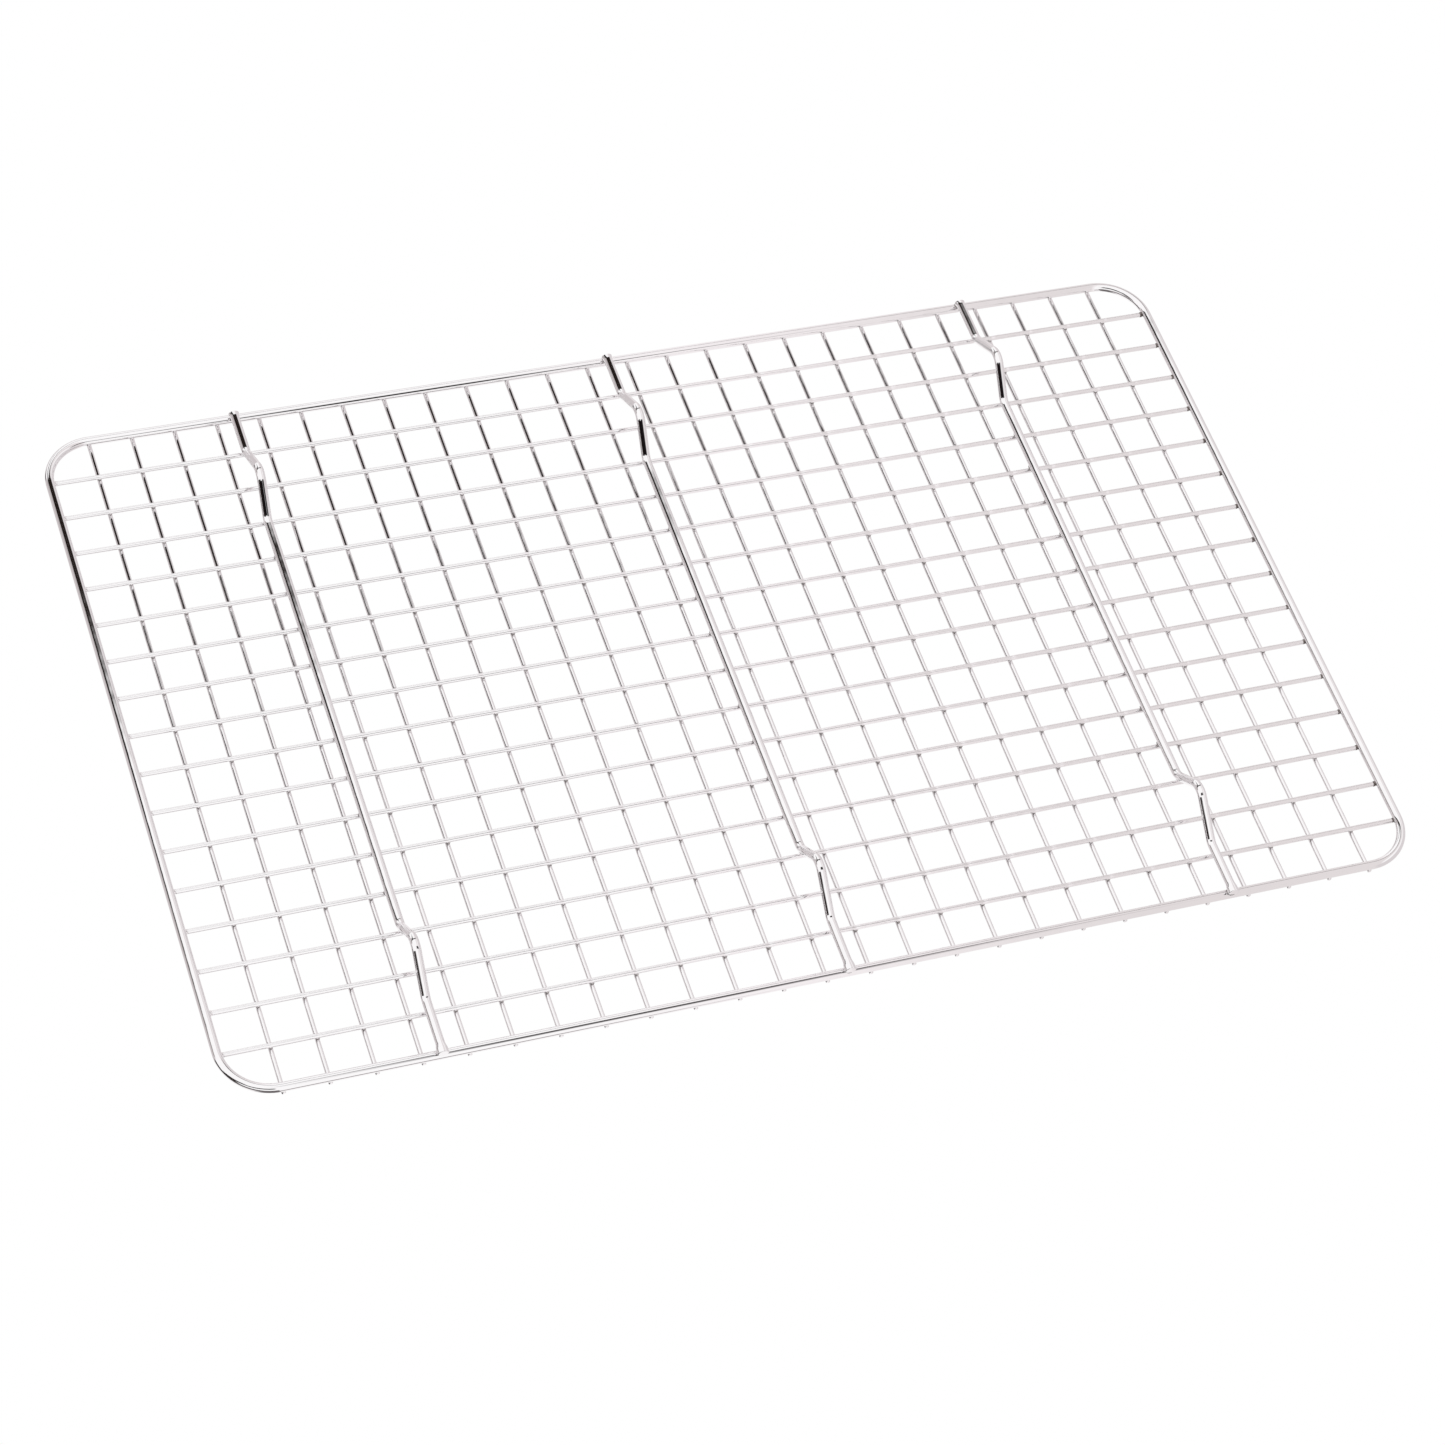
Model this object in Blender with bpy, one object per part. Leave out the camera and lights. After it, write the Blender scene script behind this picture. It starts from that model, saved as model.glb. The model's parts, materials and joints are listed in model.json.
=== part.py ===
"""Wire cooling rack: a grid of thin wires in a round-cornered frame, standing on three footed wires.

Sizes are in metres, +Z is up. The rack stands on its six feet at Z = 0, X runs along its length and
Y across it. From the top down lie the cross wires, the long wires beside the frame, and the supports.
"""
import math

import bpy

# Frame ring: outer size, wire diameter and the corner radius of the wire's centre line
FRAME_LENGTH = 0.400
FRAME_WIDTH = 0.260
FRAME_WIRE = 0.003
CORNER_RADIUS = 0.016

# Cross wires: they lie on the long wires and on the frame's long sides
CROSS_COUNT = 26
CROSS_WIRE = 0.0015
CROSS_MARGIN = 0.0166
CROSS_OVERHANG = 0.0008

# Long wires: they end against the inside of the frame's short sides
LONG_COUNT = 16
LONG_WIRE = 0.0016
LONG_MARGIN = 0.0153

# Support wires: they run under the long wires, with their ends under the frame's long sides
SUPPORT_COUNT = 3
SUPPORT_WIRE = 0.003
SUPPORT_MARGIN = 0.0665
SUPPORT_SHIFT = -0.0009
SUPPORT_OVERHANG = 0.0012

# Feet: each support dips into two V-shaped feet with rounded bends, steeper on the inner side
FOOT_INSET = 0.0334
FOOT_DROP = 0.0103
OUTER_SLOPE = math.radians(32.5)
INNER_SLOPE = math.radians(43.0)
BEND_RADIUS = 0.005

# Clearance left between wires that are welded together
WELD_GAP = 0.0003

# Facets: sides of a wire's section, steps along each kind of bend, and half the angle of a foot's level facet
THICK_SIDES = 12
THIN_SIDES = 8
CORNER_STEPS = 6
BEND_STEPS = 3
FOOT_FACET = math.radians(7.0)

# Chrome plating on drawn steel wire
CHROME_COLOR = (0.78, 0.77, 0.78, 1.0)
THICK_ROUGHNESS = 0.08
THIN_ROUGHNESS = 0.12

# The frame's centre line
HALF_LENGTH = (FRAME_LENGTH - FRAME_WIRE) / 2
HALF_WIDTH = (FRAME_WIDTH - FRAME_WIRE) / 2

# Heights of the wires' axes, stacked from the feet up
FOOT_HEIGHT = SUPPORT_WIRE / 2 * math.cos(FOOT_FACET)
SUPPORT_HEIGHT = FOOT_HEIGHT + FOOT_DROP
LONG_HEIGHT = SUPPORT_HEIGHT + SUPPORT_WIRE / 2 + WELD_GAP + LONG_WIRE / 2
CROSS_HEIGHT = LONG_HEIGHT + LONG_WIRE / 2 + WELD_GAP + CROSS_WIRE / 2
FRAME_HEIGHT = CROSS_HEIGHT - CROSS_WIRE / 2 - WELD_GAP - FRAME_WIRE / 2
SUPPORT_END_HEIGHT = FRAME_HEIGHT - FRAME_WIRE / 2 - WELD_GAP - SUPPORT_WIRE / 2


def clear_scene():
    """Remove every object that the file holds."""
    for item in list(bpy.data.objects):
        bpy.data.objects.remove(item, do_unlink=True)


def chrome(name, roughness):
    """A Principled metal in the plating's pale grey."""
    material = bpy.data.materials.new(name)
    material.use_nodes = True
    shader = material.node_tree.nodes["Principled BSDF"]
    shader.inputs["Base Color"].default_value = CHROME_COLOR
    shader.inputs["Metallic"].default_value = 1.0
    shader.inputs["Roughness"].default_value = roughness
    return material


def wire_curve(name, points, diameter, sides, material, closed=False):
    """A round wire along points, with flats facing up and down that lie one diameter apart."""
    curve = bpy.data.curves.new(name, "CURVE")
    curve.dimensions = "3D"
    curve.twist_mode = "Z_UP"
    curve.fill_mode = "FULL"
    curve.bevel_depth = diameter / 2 / math.cos(math.pi / sides)
    curve.bevel_resolution = (sides - 4) // 2
    curve.use_fill_caps = True
    spline = curve.splines.new("POLY")
    spline.points.add(len(points) - 1)
    for target, point in zip(spline.points, points):
        target.co = (*point, 1.0)
        target.tilt = math.pi / sides
    spline.use_cyclic_u = closed
    curve.materials.append(material)
    return curve


def place(rack, name, curve, location):
    """A named object for one wire, carried by the rack's empty and kept in its collection."""
    wire = bpy.data.objects.new(name, curve)
    wire.location = location
    wire.parent = rack
    rack.users_collection[0].objects.link(wire)


def spread(count, first, last):
    """Evenly spaced positions from first to last."""
    step = (last - first) / (count - 1)
    return [first + step * index for index in range(count)]


def into_corner(offset, half_span):
    """How far a wire at this offset lies inside the frame's corner bend."""
    return max(0.0, abs(offset) - (half_span - CORNER_RADIUS))


def frame_reach(offset, half_span, half_reach):
    """Distance from the middle to the frame's centre line, along a wire at this offset."""
    inside = into_corner(offset, half_span)
    return half_reach - CORNER_RADIUS + math.sqrt(CORNER_RADIUS ** 2 - inside ** 2)


def arc(centre, radius, start, end, steps):
    """Points on a circle in a plane, from one angle to another."""
    angles = spread(steps + 1, start, end)
    return [(centre[0] + radius * math.cos(a), centre[1] + radius * math.sin(a)) for a in angles]


def frame_points():
    """The frame's centre line: four straight sides joined by four quarter arcs."""
    points = []
    corners = [(1, 1), (-1, 1), (-1, -1), (1, -1)]
    for quarter, (side_x, side_y) in enumerate(corners):
        centre = (side_x * (HALF_LENGTH - CORNER_RADIUS), side_y * (HALF_WIDTH - CORNER_RADIUS))
        start = quarter * math.pi / 2
        bend = arc(centre, CORNER_RADIUS, start, start + math.pi / 2, CORNER_STEPS)
        points += [(x, y, 0.0) for x, y in bend]
    return points


def foot_side(height, slope):
    """One side of a foot, from its lowest facet up to a level run at this height, as (across, up) points.

    A bend leads into a straight slope, and a second bend levels it out.
    """
    hub = FOOT_HEIGHT + BEND_RADIUS * math.cos(FOOT_FACET)
    turns = [FOOT_FACET, 3 * FOOT_FACET, slope]
    low = [(BEND_RADIUS * math.sin(turn), hub - BEND_RADIUS * math.cos(turn)) for turn in turns]
    rise = height - hub + BEND_RADIUS * (2 * math.cos(slope) - 1)
    reach = 2 * BEND_RADIUS * math.sin(slope) + rise / math.tan(slope)
    high_hub = (reach, height - BEND_RADIUS)
    high = arc(high_hub, BEND_RADIUS, math.pi / 2 + slope, math.pi / 2, BEND_STEPS)
    return low + high


def support_points():
    """A support's centre line from end to end: level ends, two feet and a level middle run."""
    outer = foot_side(SUPPORT_END_HEIGHT, OUTER_SLOPE)
    inner = foot_side(SUPPORT_HEIGHT, INNER_SLOPE)
    foot = HALF_WIDTH - FOOT_INSET
    half = [(HALF_WIDTH + SUPPORT_OVERHANG, SUPPORT_END_HEIGHT)]
    half += [(foot + across, up) for across, up in reversed(outer)]
    half += [(foot - across, up) for across, up in inner]
    back = [(0.0, -across, up) for across, up in half]
    front = [(0.0, across, up) for across, up in reversed(half)]
    return back + front


def build_frame(rack):
    """The ring that all the other wires are welded to."""
    material = chrome("frame_chrome", THICK_ROUGHNESS)
    ring = wire_curve("frame_ring", frame_points(), FRAME_WIRE, THICK_SIDES, material, closed=True)
    place(rack, "frame_ring", ring, (0.0, 0.0, FRAME_HEIGHT))


def build_long_wires(rack):
    """Each long wire stops a weld gap short of the frame's inner face, also inside a corner bend."""
    material = chrome("long_wire_chrome", THIN_ROUGHNESS)
    edge = HALF_WIDTH - LONG_MARGIN
    for number, y in enumerate(spread(LONG_COUNT, -edge, edge), start=1):
        lean = math.asin(into_corner(y, HALF_WIDTH) / CORNER_RADIUS)
        setback = (FRAME_WIRE / 2 + WELD_GAP) / math.cos(lean) + LONG_WIRE / 2 * math.tan(lean)
        end = frame_reach(y, HALF_WIDTH, HALF_LENGTH) - setback
        name = f"long_wire_{number:02d}"
        points = [(-end, 0.0, 0.0), (end, 0.0, 0.0)]
        curve = wire_curve(name, points, LONG_WIRE, THIN_SIDES, material)
        place(rack, name, curve, (0.0, y, LONG_HEIGHT))


def build_cross_wires(rack):
    """Each cross wire ends a little past the centre line of the frame's long sides."""
    material = chrome("cross_wire_chrome", THIN_ROUGHNESS)
    edge = HALF_LENGTH - CROSS_MARGIN
    for number, x in enumerate(spread(CROSS_COUNT, -edge, edge), start=1):
        end = frame_reach(x, HALF_LENGTH, HALF_WIDTH) + CROSS_OVERHANG
        name = f"cross_wire_{number:02d}"
        points = [(0.0, -end, 0.0), (0.0, end, 0.0)]
        curve = wire_curve(name, points, CROSS_WIRE, THIN_SIDES, material)
        place(rack, name, curve, (x, 0.0, CROSS_HEIGHT))


def build_supports(rack):
    """The footed wires, alike, spread along the rack and set a little to one side as a group."""
    material = chrome("support_chrome", THICK_ROUGHNESS)
    curve = wire_curve("support_wire", support_points(), SUPPORT_WIRE, THICK_SIDES, material)
    edge = HALF_LENGTH - SUPPORT_MARGIN
    for number, x in enumerate(spread(SUPPORT_COUNT, -edge, edge), start=1):
        place(rack, f"support_wire_{number}", curve, (x + SUPPORT_SHIFT, 0.0, 0.0))


def main():
    clear_scene()
    collection = bpy.data.collections.new("cooling_rack")
    bpy.context.scene.collection.children.link(collection)
    rack = bpy.data.objects.new("cooling_rack", None)
    collection.objects.link(rack)
    build_frame(rack)
    build_long_wires(rack)
    build_cross_wires(rack)
    build_supports(rack)


main()
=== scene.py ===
"""Looks of a welded wire cooling rack: plated wires, the flash of their welds, a studio and a camera.

Sizes are in metres, +Z is up, and the rack stands on its six feet at Z = 0. The places and diameters of the
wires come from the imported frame. The camera looks up at the rack's underside, which the photograph shows.
"""
import json
import math

import bpy
import numpy as np
from bpy.props import FloatProperty, FloatVectorProperty, IntProperty, PointerProperty
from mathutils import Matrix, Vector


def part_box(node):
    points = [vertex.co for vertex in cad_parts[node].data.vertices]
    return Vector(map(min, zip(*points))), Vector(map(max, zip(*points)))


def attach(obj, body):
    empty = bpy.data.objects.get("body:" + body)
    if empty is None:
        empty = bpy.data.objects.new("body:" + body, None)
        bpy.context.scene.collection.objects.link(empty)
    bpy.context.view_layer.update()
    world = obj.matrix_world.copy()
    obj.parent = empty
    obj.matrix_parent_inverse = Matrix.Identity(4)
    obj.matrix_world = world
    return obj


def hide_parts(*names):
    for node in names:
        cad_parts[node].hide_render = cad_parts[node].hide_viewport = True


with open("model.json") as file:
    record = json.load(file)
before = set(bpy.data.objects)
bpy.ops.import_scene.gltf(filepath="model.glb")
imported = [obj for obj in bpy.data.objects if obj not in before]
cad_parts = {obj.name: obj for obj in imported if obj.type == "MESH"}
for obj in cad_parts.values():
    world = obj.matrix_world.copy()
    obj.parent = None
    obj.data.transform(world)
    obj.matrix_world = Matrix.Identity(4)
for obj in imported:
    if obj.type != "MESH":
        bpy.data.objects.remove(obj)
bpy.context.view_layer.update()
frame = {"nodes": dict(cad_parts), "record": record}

bl_info = {
    "name": "Cooling rack",
    "version": (1, 0, 0),
    "blender": (4, 5, 0),
    "location": "View3D > Sidebar > Cooling rack",
    "description": "Plated wires, weld flash, studio and camera for a wire cooling rack",
    "category": "Add Mesh",
}

MM = 0.001
BODY = "root"

# The frame's nodes, group by group
RING = "frame_ring"
LONG_WIRES = sorted(name for name in frame["nodes"] if name.startswith("long_wire_"))
CROSS_WIRES = sorted(name for name in frame["nodes"] if name.startswith("cross_wire_"))
SUPPORTS = sorted(name for name in frame["nodes"] if name.startswith("support_wire_"))

# Rings of vertices: along each kind of bend, along a frame side, round a cut end and at a weld
CORNER_STEPS = 20
SIDE_STEPS = 24
BEND_STEPS = 12
END_STEPS = 5
WELD_RINGS = 9
WELD_SIDES = 10

# How far the rings at a weld reach, in pinch widths
WELD_SPAN = 2.4

# Behind a cut end, in cut edges: the rings that hold its normals, and the stretches kept free of other rings
HOLD_RINGS = (1.4, 2.2)
END_CLEAR = 2.6
RUN_CLEAR = 4.0

# How far a weld presses the long and the cross wires along Z, in pinch depths
LONG_PULL = 0.5
CROSS_PULL = -1.0

# A support's cut ends: their rounding in cut edges, their flat part as a share of the radius, and the places
# before the end that have rings as close as at a weld
SUPPORT_EDGE = 0.8
CUT_FACE = 0.94
END_MARKS = np.array([2.0, 1.0]) * MM

# Welding presses a support's ends: from where to where before the end, and how much lower and wider they get
PRESS_START = 3.2 * MM
PRESS_FULL = 1.2 * MM
PRESS_LOWER = 0.1
PRESS_WIDER = 0.24

# How strongly the welds stain a support's level run and its ends, and the collars of the long wires
RUN_HEAT = 0.6
END_HEAT = 0.5
COLLAR_HEAT = 0.3

# Weld flash in shares of the wires' radii: its waist at most welds and at the supports' ends, the depths of
# its rings, their half lengths and half widths, and how far chance changes and moves it
FLASH_WAIST = 0.41
END_WAIST = 0.44
FLASH_DEPTHS = np.array([0.5, 0.1])
FLASH_LONG = np.array([0.9, 1.08])
FLASH_NARROW = np.array([0.55, 0.9])
FLASH_SWELL = (0.88, 1.1)
FLASH_SLIP = 0.1

# Flash on the frame as a share of a cross wire's radius, and how far before a foot the last support weld lies
RIM_SHARE = 0.8
FOOT_CLEAR = 15 * MM

# Collars at the long wires' ends, ring by ring: places along the wire, radii in wire radii, and shares of the
# drop to the frame's height; last, how far chance changes a collar's size
COLLAR_PLACES = np.array([-0.6, -0.4, -0.05, 0.4, 1.2]) * MM
COLLAR_RADII = np.array([0.85, 1.01, 1.07, 1.06, 0.7])
COLLAR_DROPS = np.array([0.0, 0.0, 0.08, 0.3, 0.6])
COLLAR_SWELL = (0.92, 1.08)

SEED = 7


def linear(hex_colour):
    """An sRGB hex colour as linear RGBA, by the sRGB curve's straight foot and its power of 2.4."""
    channels = np.array([int(hex_colour[place:place + 2], 16) for place in (1, 3, 5)]) / 255
    light = np.where(channels <= 0.04045, channels / 12.92, ((channels + 0.055) / 1.055) ** 2.4)
    return (*light.tolist(), 1.0)


class RackWires(bpy.types.PropertyGroup):
    """Shapes of the wires that the frame's boxes don't give."""

    corner_radius: FloatProperty(
        name="Corner radius", description="Radius of the frame's corners at the wire's centre line",
        default=16 * MM, min=4 * MM, max=60 * MM, unit="LENGTH")
    bend_radius: FloatProperty(
        name="Bend radius", description="Radius of each bend of a foot at the wire's centre line",
        default=5 * MM, min=2 * MM, max=12 * MM, unit="LENGTH")
    outer_slope: FloatProperty(
        name="Outer slope", description="Steepness of a foot's side that faces the frame",
        default=math.radians(32.5), min=math.radians(15), max=math.radians(75), subtype="ANGLE")
    inner_slope: FloatProperty(
        name="Inner slope", description="Steepness of a foot's side that faces the middle of the rack",
        default=math.radians(43), min=math.radians(15), max=math.radians(75), subtype="ANGLE")
    cut_edge: FloatProperty(
        name="Cut edge", description="Rounding of the edge of a cut wire end",
        default=0.25 * MM, min=0.02 * MM, max=0.5 * MM, unit="LENGTH")
    pinch_depth: FloatProperty(
        name="Pinch depth", description="How far a grid wire is pressed towards the wire it is welded to",
        default=0.11 * MM, min=0, max=0.25 * MM, unit="LENGTH")
    pinch_width: FloatProperty(
        name="Pinch width", description="Half length of the pressed stretch at a weld",
        default=0.9 * MM, min=0.2 * MM, max=3 * MM, unit="LENGTH")
    bow: FloatProperty(
        name="Bow", description="How far a grid wire may wander from a straight line",
        default=0.3 * MM, min=0, max=1 * MM, unit="LENGTH")
    back_trim: FloatProperty(
        name="Back trim", description="How much shorter the supports' back ends are cut",
        default=1.4 * MM, min=0, max=3 * MM, unit="LENGTH")
    front_reach: FloatProperty(
        name="Front reach", description="How much longer the supports' front ends are cut",
        default=0.5 * MM, min=0, max=1 * MM, unit="LENGTH")
    thick_sides: IntProperty(
        name="Thick wire sides", description="Sides of the frame's and the supports' section",
        default=28, min=8, max=64)
    thin_sides: IntProperty(
        name="Thin wire sides", description="Sides of the grid wires' section", default=16, min=6, max=48)


class RackFinish(bpy.types.PropertyGroup):
    """Colours and gloss of the plating and of the welds."""

    plating: FloatVectorProperty(
        name="Plating", description="Colour of the chrome plating", subtype="COLOR", size=4, min=0, max=1,
        default=linear("#FBF9FA"))
    weld: FloatVectorProperty(
        name="Weld", description="Colour of the thin, dull plating on the weld flash",
        subtype="COLOR", size=4, min=0, max=1, default=linear("#D2CDCC"))
    # Painted reflection: this colour stands in for the frame's dark reflection on the flash at the long
    # wires' right ends
    right_end_painted_reflection: FloatVectorProperty(
        name="Right end painted reflection", description="Colour of the painted dark reflection on the welds at the long wires' right ends",
        subtype="COLOR", size=4, min=0, max=1, default=linear("#A29996"))
    thick_roughness: FloatProperty(
        name="Thick wire roughness", description="Roughness of the frame and the supports",
        default=0.045, min=0, max=1, subtype="FACTOR")
    thin_roughness: FloatProperty(
        name="Thin wire roughness", description="Roughness of the grid wires",
        default=0.06, min=0, max=1, subtype="FACTOR")
    weld_roughness: FloatProperty(
        name="Weld roughness", description="Roughness of the weld flash",
        default=0.34, min=0, max=1, subtype="FACTOR")


class RackStage(bpy.types.PropertyGroup):
    """Camera, floor and lamp."""

    camera_place: FloatVectorProperty(
        name="Camera place", description="Where the camera stands, below the rack and in front of it",
        default=(-0.39227, 0.72265, -1.0239), size=3, subtype="TRANSLATION", unit="LENGTH")
    camera_turn: FloatVectorProperty(
        name="Camera turn", description="How the camera is turned about X, Y and Z",
        default=(math.radians(-143.3506), math.radians(8.034), math.radians(18.2287)),
        size=3, subtype="EULER")
    focal_length: FloatProperty(
        name="Focal length", description="The lens on a 36 mm sensor, in millimetres",
        default=100.185, min=10, max=500)
    floor_size: FloatProperty(
        name="Floor size", description="Side of the square floor", default=8.0, min=1, max=50, unit="LENGTH")
    floor: FloatVectorProperty(
        name="Floor", description="Colour of the pale floor", subtype="COLOR", size=4, min=0, max=1,
        default=linear("#F3F2F1"))
    lamp_power: FloatProperty(
        name="Lamp power", description="Power of the soft lamp above",
        default=8.0, min=0, max=200, unit="POWER")
    lamp_size: FloatProperty(
        name="Lamp size", description="Side of the soft lamp", default=1.2, min=0.1, max=5, unit="LENGTH")
    lamp_place: FloatVectorProperty(
        name="Lamp place", description="Where the soft lamp hangs",
        default=(-0.45, -0.35, 1.5), size=3, subtype="TRANSLATION", unit="LENGTH")
    lamp_turn: FloatVectorProperty(
        name="Lamp turn", description="How the soft lamp is turned about X, Y and Z",
        default=(math.radians(-13), math.radians(-17), 0.0), size=3, subtype="EULER")


def measure(node):
    """Middle and half size of a node's box. Across a wire, half the size is the wire's radius."""
    low, high = (np.array(corner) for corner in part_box(node))
    return (low + high) / 2, (high - low) / 2


MEASURES = {name: measure(name) for name in frame["nodes"]}
CROSS_PLACES = np.array([MEASURES[name][0][0] for name in CROSS_WIRES])
LONG_PLACES = np.array([MEASURES[name][0][1] for name in LONG_WIRES])
SUPPORT_PLACES = np.array([MEASURES[name][0][0] for name in SUPPORTS])


def level_of(node):
    """Height of a level wire's axis."""
    return MEASURES[node][0][2]


def radius_of(node):
    """Radius of a level wire, which is half its height."""
    return MEASURES[node][1][2]


def support_sizes():
    """Radius of a support's wire, the heights of its middle run and of its end runs, and the gap above them.

    The middle run's top is the support's highest point. The end runs lie as far under the frame as the
    middle run lies under the long wires.
    """
    middle, half = MEASURES[SUPPORTS[0]]
    radius = half[0]
    top = middle[2] + half[2]
    gap = level_of(LONG_WIRES[0]) - radius_of(LONG_WIRES[0]) - top
    end_height = level_of(RING) - radius_of(RING) - gap - radius
    return radius, top - radius, end_height, gap


def foot_place():
    """How far a foot stands from the rack's middle line, from the record's mounts."""
    feet = [mount for mount in frame["record"]["mounts"] if mount["name"].startswith("foot")]
    return max(abs(mount["pos_m"][1]) for mount in feet)


def smooth(values, low, high):
    """Smooth step: 0 before low, 1 after high, and 3 t squared minus 2 t cubed between them."""
    share = np.clip((values - low) / (high - low), 0, 1)
    return share * share * (3 - 2 * share)


def bells(values, marks, width):
    """Sum over the marks of a bell curve, e to the minus squared distance in widths."""
    return np.exp(-((values[:, None] - marks) / width) ** 2).sum(axis=1)


def stations(start, end, marks, width, edge):
    """Places of a wire's rings: close around its welds and its rounded ends, and one between two welds.

    Two more rings behind each rounded end keep its turned normals away from the straight wire.
    """
    around = (marks[:, None] + np.linspace(-WELD_SPAN, WELD_SPAN, WELD_RINGS) * width).ravel()
    between = (marks[1:] + marks[:-1]) / 2
    turn = edge * np.append(1 - np.cos(np.linspace(0, math.pi / 2, END_STEPS)), HOLD_RINGS)
    inner = np.concatenate([around, between])
    clear = END_CLEAR * edge
    inner = inner[(inner > start + clear) & (inner < end - clear)]
    return np.unique(np.round(np.concatenate([inner, start + turn, end - turn]), 6))


def cut_radius(along, radius, edge):
    """A wire's radius along it: full, less a quarter circle of radius edge towards each cut end."""
    inside = np.minimum(along - along[0], along[-1] - along)
    drop = np.clip(edge - inside, 0, edge)
    return radius - edge + np.sqrt(edge ** 2 - drop ** 2)


def lengths(path):
    """Distance travelled along a path to each of its points."""
    steps = np.linalg.norm(np.diff(path, axis=0), axis=1)
    return np.concatenate([[0.0], np.cumsum(steps)])


def sweep(path, upright, radii, sides, closed=False):
    """Rings of a wire carried along a flat path, as an array of rings, sides and coordinates.

    A ring is the path's point, plus cos t times the normal times the first radius, plus sin t times upright
    times the second. Upright is square to the path's plane, and the normal is upright cross the tangent.
    """
    ahead = np.roll(path, -1, axis=0) - np.roll(path, 1, axis=0)
    if not closed:
        ahead[0] = path[1] - path[0]
        ahead[-1] = path[-1] - path[-2]
    tangent = ahead / np.linalg.norm(ahead, axis=1, keepdims=True)
    normal = np.cross(upright, tangent)
    turn = np.linspace(0, 2 * math.pi, sides, endpoint=False)[:, None]
    out = np.cos(turn) * (normal * radii[:, :1])[:, None]
    up = np.sin(turn) * (np.array(upright) * radii[:, 1:])[:, None]
    return path[:, None] + out + up


def grid_faces(rows, sides, closed):
    """Vertex numbers of the quads between rings, and of the fans that close the two ends at their poles."""
    ring = np.arange(rows * sides).reshape(rows, sides)
    after = np.roll(ring, -1, axis=1)
    if closed:
        quads = np.stack([ring, after, np.roll(after, -1, axis=0), np.roll(ring, -1, axis=0)], axis=-1)
        return quads.reshape(-1, 4), np.empty((0, 3), int)
    quads = np.stack([ring[:-1], after[:-1], after[1:], ring[1:]], axis=-1)
    first = np.stack([np.full(sides, rows * sides), after[0], ring[0]], axis=-1)
    last = np.stack([np.full(sides, rows * sides + 1), ring[-1], after[-1]], axis=-1)
    return quads.reshape(-1, 4), np.concatenate([first, last])


def grid_uv(along, sides, girth, closed, length):
    """UV of each face corner in metres: U round the wire, V along it."""
    ends = np.append(along, length) if closed else along
    u, v = np.meshgrid(np.linspace(0, girth, sides + 1), ends)
    corners = np.stack([u, v], axis=-1)
    quads = np.stack([corners[:-1, :-1], corners[:-1, 1:], corners[1:, 1:], corners[1:, :-1]], axis=-2)
    if closed:
        return quads.reshape(-1, 2), np.empty((0, 2))
    first = np.stack([corners[0, :-1], corners[0, 1:], corners[0, :-1]], axis=-2)
    last = np.stack([corners[-1, :-1], corners[-1, :-1], corners[-1, 1:]], axis=-2)
    return quads.reshape(-1, 2), np.concatenate([first, last]).reshape(-1, 2)


def skin(name, stacks, along, heat, material, closed=False, traits=None):
    """A piece made of one closed tube for each stack of rings, riding on the rack's body.

    Stacks is an array of tubes, rings, sides and coordinates. Along is the rings' place on the wire, and heat
    says how near each ring is to a weld. Both are the same for all the stacks. Traits are more such values.
    """
    count, rows, sides = stacks.shape[:3]
    points = stacks.reshape(count, rows * sides, 3)
    warmth = np.repeat(heat, sides)
    if not closed:
        points = np.concatenate([points, stacks[:, :1].mean(axis=2), stacks[:, -1:].mean(axis=2)], axis=1)
        warmth = np.append(warmth, heat[[0, -1]])
    quads, fans = grid_faces(rows, sides, closed)
    offsets = points.shape[1] * np.arange(count)[:, None, None]
    girth = np.linalg.norm(stacks[0, rows // 2, 0] - stacks[0, rows // 2, sides // 2]) * math.pi
    length = along[-1] + np.linalg.norm(stacks[0, -1, 0] - stacks[0, 0, 0])
    quad_uv, fan_uv = grid_uv(along, sides, girth, closed, length)
    uv = np.concatenate([np.tile(quad_uv, (count, 1)), np.tile(fan_uv, (count, 1))])
    faces = (quads + offsets).reshape(-1, 4).tolist() + (fans + offsets).reshape(-1, 3).tolist()
    mesh = bpy.data.meshes.new(name)
    mesh.from_pydata(points.reshape(-1, 3).tolist(), [], faces)
    mesh.uv_layers.new(name="wire").data.foreach_set("uv", uv.ravel())
    mesh.attributes.new("heat", "FLOAT", "POINT").data.foreach_set("value", np.tile(warmth, count))
    for trait, values in (traits or {}).items():
        mesh.attributes.new(trait, "FLOAT", "POINT").data.foreach_set("value", np.repeat(values, sides))
    mesh.shade_smooth()
    mesh.materials.append(material)
    if mesh.validate():
        raise RuntimeError(f"{name} has faulty faces")
    piece = bpy.data.objects.new(name, mesh)
    bpy.context.scene.collection.objects.link(piece)
    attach(piece, BODY)
    return piece


def ring_path(half_length, half_width, radius, height):
    """The frame's centre line: quarter circles about four corner hubs, joined by straight sides."""
    quarter = np.linspace(0, math.pi / 2, CORNER_STEPS + 1)
    angle = np.arange(4)[:, None] * math.pi / 2 + quarter
    side_x = np.array([1, -1, -1, 1])[:, None]
    side_y = np.array([1, 1, -1, -1])[:, None]
    x = side_x * (half_length - radius) + radius * np.cos(angle)
    y = side_y * (half_width - radius) + radius * np.sin(angle)
    bends = np.stack([x, y, np.full_like(x, height)], axis=-1)
    share = np.linspace(0, 1, SIDE_STEPS + 2)[1:-1, None]
    start = bends[:, -1:]
    end = np.roll(bends, -1, axis=0)[:, :1]
    return np.concatenate([bends, start + share * (end - start)], axis=1).reshape(-1, 3)


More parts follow.
